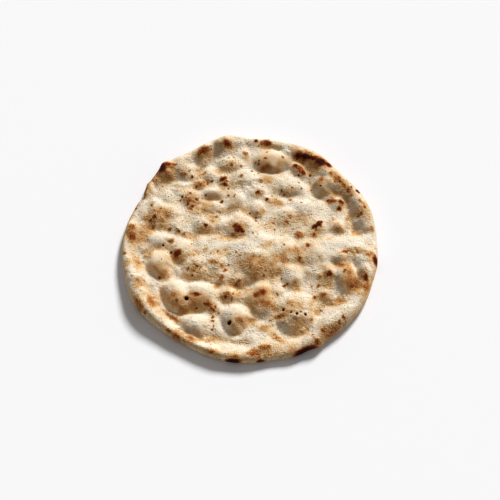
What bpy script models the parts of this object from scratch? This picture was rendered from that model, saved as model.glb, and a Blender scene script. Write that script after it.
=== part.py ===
"""A prebaked pizza base: one round of stretched, part-baked dough.

The round rests flat on z = 0 with its centre on the Z axis. A puffed, uneven rim runs round it, and inside
the rim the dough is thin and covered in air bubbles, with creases where neighbouring bubbles meet.

The tables below are in millimetres, seen from above: +X to the right, +Y to the far side, and angles
anticlockwise from +X. The finished mesh is in metres.
"""

import math
from collections import namedtuple

import bmesh
import bpy
import numpy as np
from mathutils import Matrix

NAME = "pizza_base"
MILLIMETRE = 0.001

# ---------------------------------------------------------------- driving dimensions
RADIUS = 139.5                 # mean reach of the outline
FLOOR_THICKNESS = 7.5          # thin dough inside the rim, without its bubbles
CREST_SHARE = 0.33             # the rim's crest lies this far in, as a share of the rim's width
EDGE_SHARE = 0.42              # the rim is widest at this share of its height
UNDERCUT_SHARE = 0.50          # the flat underside starts this far in, as a share of the rim's width
RING_COUNT = 40                # rings of triangles from the centre to the edge
RING_CROWDING = 0.95           # the rings lie closer together towards the edge; near 0 they are even
UNDERCUT_LOOPS = 3             # loops that round the edge under to the flat underside
EASING_ROUNDS = 2              # rounds of evening out the heights of neighbouring points of the top
EASING_SHARE = 0.4
SHARPEST_SMOOTH_ANGLE = math.radians(60)

# Departures of the outline from RADIUS, every 10 degrees.
OUTLINE = (
    0.0, 1.1, 1.5, -0.5, -3.5, -1.3, 0.3, -1.2, -0.9, -0.9, 3.5, 0.6,
    -1.5, 0.1, -0.3, -2.7, -3.5, -1.1, 0.5, 1.4, 2.0, 4.1, 2.1, -0.9,
    -1.9, -1.2, 0.3, -0.3, -1.6, 0.6, -0.8, 0.2, 1.8, 2.1, 0.5, 1.0,
)

# Nicks and bulges of the edge that are narrower than the outline's steps.
Nick = namedtuple("Nick", "angle depth spread")
NICKS = (
    Nick(134.5, -3.5, 2.6),
    Nick(147.0, -1.5, 2.0),
    Nick(154.5, 4.0, 2.2),
    Nick(301, -3.0, 3.5),
)

# Width and height of the rim, every 15 degrees.
RIM_WIDTH = (24, 24, 27, 30, 27, 18, 18, 23, 20, 28, 22, 16, 18, 24, 26, 20, 14, 16, 22, 24, 28, 31, 28, 26)
RIM_HEIGHT = (11, 13, 14, 15, 16, 12, 12, 16, 12, 15, 12, 11, 14, 17, 19, 16, 13, 13, 12, 11, 15, 15, 15, 14)

# ---------------------------------------------------------------- air bubbles
# Crest, half length along its turn, reach on its far side and on its near side, turn in degrees, height, and
# how it meets the dough round it: a full bubble has steep sides, and a slack one runs out softly.
Bubble = namedtuple("Bubble", "x y length far near turn height sides")
FULL = 0.70
TAUT = 0.90
FIRM = 1.05
SLACK = 1.20

FAR_BUBBLES = (
    Bubble(26, 108, 22.5, 13.5, 17, -2, 8.5, FULL),
    Bubble(-20, 103, 17, 11, 12.5, 0, 5.5, FIRM),
    Bubble(-7, 115, 7, 6, 6, 0, 3.0, FIRM),
    Bubble(-29, 123, 11, 14.5, 14, -6, 5.5, FIRM),
    Bubble(-52, 114, 11, 15, 16, -12, 5.0, FIRM),
    Bubble(-45, 88, 10, 12, 11, -8, 4.5, FIRM),
    Bubble(-74, 92, 14, 13, 13, 0, 5.0, SLACK),
    Bubble(-79, 104, 14, 10, 14, 10, 2.5, FIRM),
    Bubble(-98, 94, 13, 10, 17, 40, 5.0, FIRM),
    Bubble(-12, 114, 13, 17, 10, 0, 4.0, SLACK),
    Bubble(-6, 84, 16, 12, 14, -20, 3.5, SLACK),
    Bubble(-29, 81, 8, 8, 11, 0, 4.0, FIRM),
    Bubble(-76, 75, 12, 7, 6, 5, 1.5, SLACK),
    Bubble(-57, 76, 8, 6, 8, 0, 3.5, FIRM),
    Bubble(-67, 60, 15, 9, 14, 0, 4.0, SLACK),
    Bubble(-42, 64, 14, 7, 10, -4, 4.0, FIRM),
    Bubble(-42, 47, 15, 7, 9, -6, 3.5, FIRM),
    Bubble(-14, 57, 10, 7, 13, -20, 4.0, FIRM),
    Bubble(8, 44, 12, 10, 12, -20, 4.0, FIRM),
    Bubble(9, 65, 11, 12, 8, 0, 3.5, FIRM),
    Bubble(43, 71, 18, 18, 10, -5, 4.5, FIRM),
    Bubble(55, 94, 13, 7, 7, -55, 5.5, TAUT),
    Bubble(84, 85, 8, 10, 8, 0, 4.0, FIRM),
    Bubble(82, 74, 13, 11, 15, -20, 6.5, FIRM),
    Bubble(60, 46, 12, 10, 18, -10, 4.5, SLACK),
    Bubble(42, 36, 14, 10, 15, 0, 3.0, SLACK),
    Bubble(98, 51, 9, 6, 8, 0, 4.0, TAUT),
    Bubble(97, 21, 9, 8, 10, 0, 5.0, FIRM),
    Bubble(122, 42, 10, 18, 18, 10, 4.0, FIRM),
    Bubble(75, 23, 9, 9, 9, 20, 2.5, SLACK),
)

MIDDLE_BUBBLES = (
    Bubble(-12, 22, 15, 15, 19, 5, 7.0, FIRM),
    Bubble(6, 12, 18, 17, 14, -10, 4.0, SLACK),
    Bubble(-29, 24, 13, 8, 9, 15, 3.5, SLACK),
    Bubble(-50, 25, 13, 9, 15, 0, 4.5, SLACK),
    Bubble(-82, 19, 19, 11, 6, -8, 2.5, FIRM),
    Bubble(-103, 40, 13, 18, 24, 0, 6.0, SLACK),
    Bubble(-90, 40, 12, 14, 17, 35, 4.5, SLACK),
    Bubble(-92, 57, 18, 16, 10, 0, 2.5, SLACK),
    Bubble(-117, 38, 7, 16, 9, 0, 3.0, SLACK),
    Bubble(-130, 16, 8, 10, 14, 0, 4.0, FIRM),
    Bubble(-102, 5, 13, 9, 12, 0, 4.5, FIRM),
    Bubble(-86, 5, 5, 5, 7, 0, 3.0, FIRM),
    Bubble(-75, -7, 12, 14, 19, 15, 6.0, FIRM),
    Bubble(-98, -24, 14, 15, 19.5, -12, 8.5, FIRM),
    Bubble(-59, -26, 14, 12, 21, 0, 4.5, SLACK),
    Bubble(-36, -24, 14, 8, 16, -20, 3.5, SLACK),
    Bubble(-30, -40, 8, 6, 10, -20, 2.5, FIRM),
    Bubble(7, -20, 17, 9, 18, -12, 3.5, FIRM),
    Bubble(2, -30, 12, 12, 22, 0, 4.5, FIRM),
    Bubble(72, -14, 16, 10, 14, 0, 3.0, SLACK),
    Bubble(97, -20, 10, 9, 10, 25, 4.5, FIRM),
    Bubble(118, -14, 18, 12, 20, 0, 3.0, FIRM),
    Bubble(46, -44, 11, 15, 14, 0, 5.0, FIRM),
    Bubble(85, -37, 9, 7, 10, 0, 4.5, FIRM),
    Bubble(102, -39, 11, 13, 24, 3, 8.0, FIRM),
    Bubble(122, -37, 8, 13, 14, 10, 3.5, FIRM),
)

NEAR_BUBBLES = (
    Bubble(-81, -56, 15, 11, 27, 12, 8.5, TAUT),
    Bubble(-55, -60, 20, 13, 24, 0, 9.5, FIRM),
    Bubble(-70, -66, 20, 12, 19, -6, 7.5, TAUT),
    Bubble(-59, -99, 18, 16, 16.5, -6, 8.5, FIRM),
    Bubble(-40, -76, 8, 8, 9, 0, 3.0, SLACK),
    Bubble(-24, -60, 10, 8, 11, 0, 4.0, FIRM),
    Bubble(-14.5, -89.5, 15, 18, 18, -5, 9.0, SLACK),
    Bubble(12, -59, 12, 12, 17, 0, 8.0, FIRM),
    Bubble(12, -68, 20, 12, 20, -8, 6.5, FIRM),
    Bubble(27, -58, 12, 9, 11, 0, 3.5, SLACK),
    Bubble(49, -84, 23, 26, 28, -6, 9.0, FIRM),
    Bubble(78, -62, 8, 6, 9, 0, 3.5, FIRM),
    Bubble(-120, -43, 9, 10, 10, 0, 3.0, SLACK),
    Bubble(14, -119, 16, 12, 12, 0, 3.0, SLACK),
    Bubble(91, -92, 24, 12, 12, 36, 4.0, SLACK),
)

BUBBLES = FAR_BUBBLES + MIDDLE_BUBBLES + NEAR_BUBBLES
BUBBLE_BLEND = 4.0             # where bubbles overlap, the higher one leads

# Broad heaves of the dough, high or low, that the bubbles sit on.
HEAVES = (
    Bubble(-18, -2, 64, 18, 50, 0, 2.5, SLACK),
    Bubble(18, -6, 46, 15, 46, 0, 6.0, FIRM),
    Bubble(96, -8, 46, 19, 52, 0, 4.5, FIRM),
    Bubble(48, -107, 24, 15, 9, 0, -2.0, SLACK),
    Bubble(118, 18, 8, 14, 8, 0, -2.5, FIRM),
    Bubble(10, -92, 13, 10, 12, 0, -1.2, SLACK),
)

# ---------------------------------------------------------------- creases
# Valleys between bubbles: reach to each side, depth, and the line that the valley follows.
Crease = namedtuple("Crease", "reach depth line")
CREASES = (
    Crease(3.0, 1.5, ((-59, 102), (-58, 92))),
    Crease(4.5, 2.5, ((-60, 92), (-46, 105), (-38, 94))),
    Crease(3.5, 1.5, ((-104, 74), (-96, 76), (-84, 79), (-70, 80))),
    Crease(1.8, 3.0, ((-115, 82), (-110, 77), (-106, 68))),
    Crease(4.5, 1.0, ((-84, 62), (-76, 48), (-66, 36))),
    Crease(4.0, 2.5, ((3, 96), (12, 91), (26, 90), (42, 95))),
    Crease(4.5, 2.5, ((28, 60), (42, 58), (56, 62))),
    Crease(4.5, 3.5, ((66, 76), (69, 64), (77, 58), (86, 52))),
    Crease(3.6, 3.4, ((108, 54), (111, 36), (112, 16), (120, 11), (130, 12))),
    Crease(4.0, 2.5, ((-58, 56), (-46, 54), (-34, 56))),
    Crease(4.5, 2.5, ((-28, 36), (-14, 42), (0, 34), (6, 28))),
    Crease(4.0, 1.2, ((28, 24), (38, 14), (52, 6), (64, 8))),
    Crease(4.5, 1.5, ((-112, 18), (-98, 17), (-88, 13), (-74, 9), (-64, 4))),
    Crease(4.0, 2.6, ((-64, 10), (-50, 10), (-26, 8), (-14, 4), (-4, 6))),
    Crease(4.5, 3.0, ((-130, -1), (-121, -17), (-111, -32), (-101, -44), (-92, -48))),
    Crease(4.0, 3.0, ((-102, -8), (-88, -11), (-86, -22), (-76, -28))),
    Crease(4.5, 3.0, ((-84, -29), (-79, -42), (-64, -48), (-44, -48), (-34, -55), (-22, -51), (-8, -54))),
    Crease(4.5, 3.0, ((-8, -54), (2, -50), (18, -44), (32, -42))),
    Crease(4.5, 3.0, ((-99, -52), (-94, -68), (-86, -78), (-74, -85), (-60, -84), (-45, -80))),
    Crease(4.5, 2.5, ((-74, -86), (-73, -98), (-66, -108))),
    Crease(4.0, 3.0, ((-28, -72), (-14, -73), (-4, -74), (1, -86))),
    Crease(4.0, 2.5, ((-34, -85), (-30, -98), (-19, -111), (-6, -103), (2, -92), (14, -92))),
    Crease(4.0, 2.5, ((38, -27), (48, -27), (56, -30))),
    Crease(4.0, 2.5, ((58, -44), (58, -52), (46, -54), (36, -49))),
    Crease(5.0, 4.2, ((73, -85), (81, -75), (91, -74), (102, -68), (109, -59), (113, -50))),
    Crease(4.5, 3.5, ((28, -99), (40, -110), (52, -112), (62, -106), (68, -94))),
    Crease(4.5, 4.0, ((-74, -103), (-64, -110), (-52, -112), (-42, -110), (-32, -113), (-20, -119),
                      (-6, -120))),
    Crease(4.0, 4.0, ((-108, -56), (-104, -70), (-97, -80), (-87, -89), (-77, -95))),
    Crease(3.0, 2.0, ((-129, -10), (-124, -24), (-122, -42))),
    Crease(4.5, 2.8, ((72, 5), (84, 6), (98, 9), (105, 14))),
    Crease(5.0, 4.0, ((112, -26), (115, -42), (112, -58))),
    Crease(3.5, 3.0, ((-122, -10), (-116, -20), (-112, -31))),
    Crease(4.0, 3.0, ((90, -27), (97, -32), (104, -29))),
)
CREASE_SOFTNESS = 1.25         # at 1 a crease is sharp at its bottom, and at 2 it is round
THINNEST_DOUGH = 4.0           # no crease goes deeper than this

# ---------------------------------------------------------------- unevenness of the dough
# Each swell is a random, smooth height field: the size of its bumps, their height, and its seed.
Swell = namedtuple("Swell", "size height seed")
DRIFT_X = (Swell(14, 1.4, 0), Swell(6, 0.9, 1))         # pushes the bubbles out of round
DRIFT_Y = (Swell(14, 1.4, 2), Swell(6, 0.9, 3))
FLOOR_SWELLS = (Swell(30, 1.0, 4), Swell(13, 0.6, 5))
RIM_SWELLS = (Swell(20, 0.8, 6),)
TOP_SWELLS = (Swell(9, 0.45, 7),)
LATTICE_SIZE = 64
SHIFT_PER_SEED = (17.3, 9.1)   # the shift and turn keep the swells' lattices from lining up
TURN_PER_SEED = 1.1

FADE_AT_EDGE = 6.0             # bubbles and unevenness fade out over this reach inside the edge

CRUST_COLOUR = (0.74, 0.63, 0.47, 1.0)
CRUST_ROUGHNESS = 0.85


def round_value(values, angle):
    """Read evenly spaced values round the full turn as one smooth closed curve."""
    table = np.asarray(values, float)
    place = (angle / math.tau % 1.0) * len(table)
    first = np.floor(place).astype(int)
    t = place - first
    before, start, end, after = (table[(first + step) % len(table)] for step in (-1, 0, 1, 2))
    slope = end - before
    bend = 2 * before - 5 * start + 4 * end - after
    twist = 3 * (start - end) + after - before
    return start + 0.5 * t * (slope + t * (bend + t * twist))


def turn_between(a, b):
    """Return the shortest signed turn from angle b to angle a."""
    return (a - b + math.pi) % math.tau - math.pi


def outline_reach(angle):
    """Return how far the base reaches from its centre at an angle."""
    reach = RADIUS + round_value(OUTLINE, angle)
    for nick in NICKS:
        turn = np.degrees(turn_between(angle, math.radians(nick.angle)))
        reach = reach - nick.depth * np.exp(-(turn / nick.spread) ** 2)
    return reach


def swell_height(swells, x, y):
    """Return the summed height of some swells: random lattices, smoothly filled in."""
    total = np.zeros_like(x)
    for swell in swells:
        lattice = np.random.default_rng(swell.seed).uniform(-1, 1, (LATTICE_SIZE, LATTICE_SIZE))
        turn = TURN_PER_SEED * swell.seed
        u = (x * math.cos(turn) - y * math.sin(turn)) / swell.size + SHIFT_PER_SEED[0] * swell.seed
        v = (x * math.sin(turn) + y * math.cos(turn)) / swell.size + SHIFT_PER_SEED[1] * swell.seed
        i = np.floor(u).astype(int)
        j = np.floor(v).astype(int)
        s = ease(u - i)
        t = ease(v - j)
        near = lattice[i % LATTICE_SIZE, j % LATTICE_SIZE] * (1 - s)
        near = near + lattice[(i + 1) % LATTICE_SIZE, j % LATTICE_SIZE] * s
        far = lattice[i % LATTICE_SIZE, (j + 1) % LATTICE_SIZE] * (1 - s)
        far = far + lattice[(i + 1) % LATTICE_SIZE, (j + 1) % LATTICE_SIZE] * s
        total = total + swell.height * (near * (1 - t) + far * t)
    return total


def ease(t):
    """Run from 0 to 1 with no slope or bend at either end."""
    return t * t * t * (t * (t * 6 - 15) + 10)


def dome(x, y, bubble):
    """Return the height of one bubble's dome, with its own reach on its far and near sides."""
    turn = math.radians(bubble.turn)
    along = ((x - bubble.x) * math.cos(turn) + (y - bubble.y) * math.sin(turn)) / bubble.length
    across = (y - bubble.y) * math.cos(turn) - (x - bubble.x) * math.sin(turn)
    across = across / np.where(across > 0, bubble.far, bubble.near)
    return bubble.height * np.maximum(1 - along ** 2 - across ** 2, 0) ** bubble.sides


def bubble_rise(x, y):
    """Return how far the heaves and bubbles lift the dough."""
    total = np.zeros_like(x)
    for bubble in BUBBLES:
        total = total + dome(x, y, bubble) ** BUBBLE_BLEND
    total = total ** (1 / BUBBLE_BLEND)
    for heave in HEAVES:
        total = total + dome(x, y, heave)
    return total


def crease_depth(x, y):
    """Return how far the creases sink the dough."""
    deepest = np.zeros_like(x)
    for crease in CREASES:
        nearest = np.full_like(x, np.inf)
        for (x1, y1), (x2, y2) in zip(crease.line, crease.line[1:]):
            share = ((x - x1) * (x2 - x1) + (y - y1) * (y2 - y1)) / ((x2 - x1) ** 2 + (y2 - y1) ** 2)
            share = np.clip(share, 0, 1)
            nearest = np.minimum(nearest, np.hypot(x - x1 - share * (x2 - x1), y - y1 - share * (y2 - y1)))
        deepest = np.maximum(deepest, crease.depth * np.exp(-(nearest / crease.reach) ** CREASE_SOFTNESS))
    return deepest


def edge_height(angle):
    """Return the height at which the base is widest."""
    return EDGE_SHARE * round_value(RIM_HEIGHT, angle)


def rim_and_floor(inset, angle, drift, x, y):
    """Return the height of the plain dough: the floor, and the rim as a rounded ridge round it."""
    width = round_value(RIM_WIDTH, angle)
    crest = CREST_SHARE * width
    top = round_value(RIM_HEIGHT, angle) + swell_height(RIM_SWELLS, x, y)
    floor = FLOOR_THICKNESS + swell_height(FLOOR_SWELLS, x, y)
    edge = edge_height(angle)
    outward = np.clip(1 - inset / crest, 0, 1)
    outer_side = edge + (top - edge) * np.sqrt(1 - outward ** 2)
    inner_side = top + (floor - top) * ease(np.clip((inset + drift - crest) / (width - crest), 0, 1))
    return np.where(inset < crest, outer_side, inner_side)


def top_height(x, y):
    """Return the height of the top surface over points of the plan, in millimetres."""
    angle = np.arctan2(y, x)
    inset = outline_reach(angle) - np.hypot(x, y)
    fade = np.sqrt(np.clip(inset / FADE_AT_EDGE, 0, 1))
    drift_x = swell_height(DRIFT_X, x, y)
    drift_y = swell_height(DRIFT_Y, x, y)
    dough = rim_and_floor(inset, angle, drift_x, x, y)
    raised = dough + fade * bubble_rise(x + drift_x, y + drift_y)
    sunk = raised - fade * crease_depth(x + drift_x, y + drift_y)
    return np.maximum(sunk, THINNEST_DOUGH) + fade * swell_height(TOP_SWELLS, x, y)


def hexagon_to_round(x, y):
    """Map points of a hexagon of unit size, corner on +X, to plan points inside the outline."""
    angle = np.arctan2(y, x) % math.tau
    side = np.floor(angle / (math.tau / 6))
    middle = (side + 0.5) * math.tau / 6
    apothem = math.cos(math.tau / 12)
    ring = (x * np.cos(middle) + y * np.sin(middle)) / apothem
    along = (y * np.cos(middle) - x * np.sin(middle)) / np.maximum(ring, 1e-9)
    angle = (side + 0.5 + np.clip(along, -0.5, 0.5)) * math.tau / 6
    reach = np.sin(ring * RING_CROWDING) / math.sin(RING_CROWDING) * outline_reach(angle)
    return reach * np.cos(angle), reach * np.sin(angle)


def build_top(bm):
    """Make the top as a sheet of even triangles inside the outline, and lift it to the dough's relief."""
    corner_to_x = Matrix.Rotation(math.tau / 12, 4, "Z")
    bmesh.ops.create_circle(bm, cap_ends=True, cap_tris=True, segments=6, radius=1.0, matrix=corner_to_x)
    bmesh.ops.subdivide_edges(bm, edges=bm.edges, cuts=RING_COUNT - 1, use_grid_fill=True)
    flat = np.array([vert.co[:2] for vert in bm.verts])
    x, y = hexagon_to_round(flat[:, 0], flat[:, 1])
    z = top_height(x, y)
    for vert, place in zip(bm.verts, np.column_stack((x, y, z))):
        vert.co = place * MILLIMETRE
    inner = [vert for vert in bm.verts if not vert.is_boundary]
    for _ in range(EASING_ROUNDS):
        bmesh.ops.smooth_vert(bm, verts=inner, factor=EASING_SHARE, use_axis_z=True)


def build_underside(bm):
    """Round the edge under in a few loops, and close it with the flat face that the base rests on."""
    edges = [edge for edge in bm.edges if edge.is_boundary]
    for loop in range(1, UNDERCUT_LOOPS + 1):
        quarter = loop / UNDERCUT_LOOPS * math.tau / 4
        made = bmesh.ops.extrude_edge_only(bm, edges=edges)["geom"]
        edges = [item for item in made if isinstance(item, bmesh.types.BMEdge) and item.is_boundary]
        for vert in (item for item in made if isinstance(item, bmesh.types.BMVert)):
            angle = np.array(math.atan2(vert.co.y, vert.co.x))
            undercut = UNDERCUT_SHARE * round_value(RIM_WIDTH, angle)
            reach = outline_reach(angle) - undercut * (1 - math.cos(quarter))
            height = edge_height(angle) * (1 - math.sin(quarter))
            place = (reach * math.cos(angle), reach * math.sin(angle), height)
            vert.co = [value * MILLIMETRE for value in place]
    bmesh.ops.contextual_create(bm, geom=edges)


def crust_material():
    """Make the pale, floury crust."""
    material = bpy.data.materials.new("crust")
    material.use_nodes = True
    shader = material.node_tree.nodes["Principled BSDF"]
    shader.inputs["Base Color"].default_value = CRUST_COLOUR
    shader.inputs["Roughness"].default_value = CRUST_ROUGHNESS
    shader.inputs["Metallic"].default_value = 0.0
    return material


def main():
    """Clear the scene and make the pizza base."""
    for item in list(bpy.data.objects):
        bpy.data.objects.remove(item)

    bm = bmesh.new()
    build_top(bm)
    build_underside(bm)
    bmesh.ops.triangulate(bm, faces=[face for face in bm.faces if len(face.verts) == 4])
    bmesh.ops.recalc_face_normals(bm, faces=bm.faces)

    mesh = bpy.data.meshes.new(NAME)
    bm.to_mesh(mesh)
    bm.free()
    mesh.shade_smooth()
    mesh.set_sharp_from_angle(angle=SHARPEST_SMOOTH_ANGLE)
    mesh.materials.append(crust_material())

    base = bpy.data.objects.new(NAME, mesh)
    collection = bpy.data.collections.new(NAME)
    bpy.context.scene.collection.children.link(collection)
    collection.objects.link(base)


main()
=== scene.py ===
"""The look of the prebaked pizza base: fine crust relief, browning, scorch marks, and a plain studio."""

import math
from collections import namedtuple

import bmesh
import bpy
import numpy as np
from mathutils import Matrix, Vector


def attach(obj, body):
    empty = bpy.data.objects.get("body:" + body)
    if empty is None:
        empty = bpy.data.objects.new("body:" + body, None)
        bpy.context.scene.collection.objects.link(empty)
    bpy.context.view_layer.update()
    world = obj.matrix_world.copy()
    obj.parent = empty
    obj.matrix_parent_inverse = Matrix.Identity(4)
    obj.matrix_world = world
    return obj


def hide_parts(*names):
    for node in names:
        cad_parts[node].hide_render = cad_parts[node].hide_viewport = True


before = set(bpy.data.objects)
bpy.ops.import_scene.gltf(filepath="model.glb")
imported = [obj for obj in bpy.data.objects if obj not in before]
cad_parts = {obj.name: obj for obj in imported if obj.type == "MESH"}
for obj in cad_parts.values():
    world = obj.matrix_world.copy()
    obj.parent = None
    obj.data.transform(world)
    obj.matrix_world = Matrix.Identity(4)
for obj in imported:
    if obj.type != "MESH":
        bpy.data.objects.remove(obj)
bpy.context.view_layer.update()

MILLIMETRE = 0.001


def rows_of(kind, rows):
    """Turn rows of plain numbers into named ones."""
    return tuple(kind(*row) for row in rows)


# ---------------------------------------------------------------- camera, light and floor
VIEW_ELEVATION = math.radians(62)
VIEW_DISTANCE = 1.059
VIEW_TARGET = Vector((0.0, -0.009, 0.008))
LENS = 70.0
SENSOR = 36.0
SUN_AZIMUTH = math.radians(63)     # towards the sun, anticlockwise from +X
SUN_ELEVATION = math.radians(36)
SUN_ANGLE = math.radians(15)
SUN_STRENGTH = 3.60
SUN_COLOUR = (0.99, 1.0, 1.01)
SKY_STRENGTH = 0.25
SKY_COLOUR = (0.985, 0.965, 0.96, 1.0)
FLOOR_SIZE = 6.0
FLOOR_COLOUR = (0.86, 0.855, 0.86, 1.0)
FLOOR_ROUGHNESS = 0.9

# ---------------------------------------------------------------- the crust's look
ROUGHNESS = 0.85
SPECULAR = 0.15
GLOW_SHARE = 0.3            # light that scatters inside the dough's skin
GLOW_COLOUR = (1.0, 0.55, 0.3)
GLOW_REACH = 0.0014

# Colour of the crust from raw dough, at 0, to char, at 1.
CRUST_COLOURS = (
    (0.00, (0.795, 0.715, 0.592)),
    (0.08, (0.728, 0.624, 0.478)),
    (0.16, (0.678, 0.522, 0.346)),
    (0.28, (0.592, 0.385, 0.192)),
    (0.42, (0.470, 0.250, 0.095)),
    (0.58, (0.320, 0.100, 0.022)),
    (0.74, (0.190, 0.036, 0.007)),
    (0.95, (0.050, 0.010, 0.004)),
)
FLOUR_COLOUR = (0.765, 0.697, 0.578, 1.0)
FLOUR_MOST = 0.55           # share of flour where the dust is full,
FLOUR_BAKES = (0.10, 0.30)  # less of it from here, and none of it past here

# Uneven patterns: size in millimetres, detail, roughness, and the noise values where each starts and is full.
Pattern = namedtuple("Pattern", "size detail rough low high")
COARSE_GRAIN = Pattern(5.0, 3.0, 0.55, 0.30, 0.70)
FINE_GRAIN = Pattern(1.9, 2.0, 0.70, 0.34, 0.66)
TAN_CLOUDS = Pattern(22.0, 4.0, 0.60, 0.40, 0.68)
UNDERSIDE_MOTTLE = Pattern(11.0, 5.0, 0.65, 0.44, 0.66)
FLOUR_DUST = Pattern(14.0, 5.0, 0.65, 0.48, 0.66)
LOOSE_SKIN = Pattern(8.0, 3.0, 0.65, 0.38, 0.62)

COARSE_BAKE = 0.02          # browning that each pattern brings or takes
FINE_BAKES = (0.06, 0.15)   # on raw dough and on baked crust,
FINE_RANGE = (0.05, 0.40)   # which are as brown as this
CLOUD_BAKES = (0.03, 0.14)
MOTTLE_BAKES = (0.02, 0.42)
TAUT_BAKE = 0.05
TAUT_GRAIN = 0.15           # share of the grain that is left on taut skin

# Specks: one goes into some of the cells of a random net. Cell size in millimetres, the fewest and most cells
# that have one, and the palest and darkest speck.
Specks = namedtuple("Specks", "cell fewest most palest darkest")
SPECK_LAYERS = (Specks(3.4, 0.10, 0.60, 0.52, 1.00), Specks(2.2, 0.12, 0.50, 0.50, 0.95))
SPECK_RADII = (0.12, 0.26)  # as a share of the cell
SPECK_EDGE = 0.06
SPECK_UNDERTONE = 0.5       # share of the crust's own browning under a speck
# Painted shade: pinholes are darkened towards black.
HOLE_SHADE_BAKE = 1.2

# Grit that stands off the skin: a coarser and a finer noise.
GRIT_SIZE = 2.0
GRIT_DETAIL = 1.0
GRIT_ROUGH = 0.6
FINE_GRIT_SIZE = 1.2
FINE_GRIT_SHARE = 0.8
GRIT_STRENGTHS = (0.15, 1.0)
GRIT_DEPTH = 0.0018

MIX_SOCKETS = (0, 6, 7)     # a colour mix node's share and its two colours
MIX_RESULT = 2

# ---------------------------------------------------------------- the dough's form, in millimetres
RADIUS = 139.44
FLOOR_THICKNESS = 7.5
CREST_SHARE = 0.33
EDGE_SHARE = 0.42
UNDERCUT_SHARE = 0.50
THINNEST_DOUGH = 4.0
HIGH_DOUGH = 18.0          # above this the crust levels off,
HIGHEST_RISE = 1.85        # and gains no more than this
CREASE_SOFTNESS = 1.25
BUBBLE_BLEND = 4.0
FADE_AT_EDGE = 6.0
EASING_ROUNDS = 8          # rounds of evening out the heights of neighbouring points
EASING_SHARE = 0.6
EASING_INSET = 4.0
TAUT_CRISPNESS = 0.75      # share of the evening out that taut skin is spared

RING_COUNT = 148
RING_CROWDING = 0.95
UNDERCUT_LOOPS = 9
UNDERSIDE_LOOPS = 14

# Departures of the outline from RADIUS, every 10 degrees.
OUTLINE = (
    0.0, 1.1, 1.5, -0.5, -3.5, -1.3, 0.3, -1.2, -0.9, -0.9, 3.5, 0.6,
    -1.5, 0.1, -0.3, -2.7, -3.5, -1.1, 0.5, 1.4, 2.0, 4.1, 2.1, -0.9,
    -1.9, -1.2, 0.3, -0.3, -1.6, 0.6, -0.8, 0.2, 1.8, 2.1, 0.5, 1.0,
)

# Nicks and bulges of the edge that are narrower than the outline's steps.
Nick = namedtuple("Nick", "angle depth spread")
NICKS = rows_of(Nick, (
    (134.5, -3.5, 2.6),
    (147.0, -1.5, 2.0),
    (154.5, 4.0, 2.2),
    (301, -3.0, 3.5),
))

# Width and height of the rim, every 15 degrees.
RIM_WIDTH = (
    24, 24, 27, 30, 27, 18, 18, 23, 20, 28, 22, 16, 18, 24, 26, 20, 14, 16, 22, 24, 28, 31, 28, 26,
)
RIM_HEIGHT = (
    11, 13, 14, 15, 16, 12, 12, 16, 12, 15, 12, 11, 14, 17, 19, 16, 13, 13, 12, 11, 15, 15, 15, 14,
)

# Air bubbles: crest, half length along the turn, reach on the far and near sides, turn in degrees, height,
# and how the bubble meets the dough round it.
Bubble = namedtuple("Bubble", "x y length far near turn height sides")
FULL = 0.70
TAUT = 0.90
FIRM = 1.05
SLACK = 1.20

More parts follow.
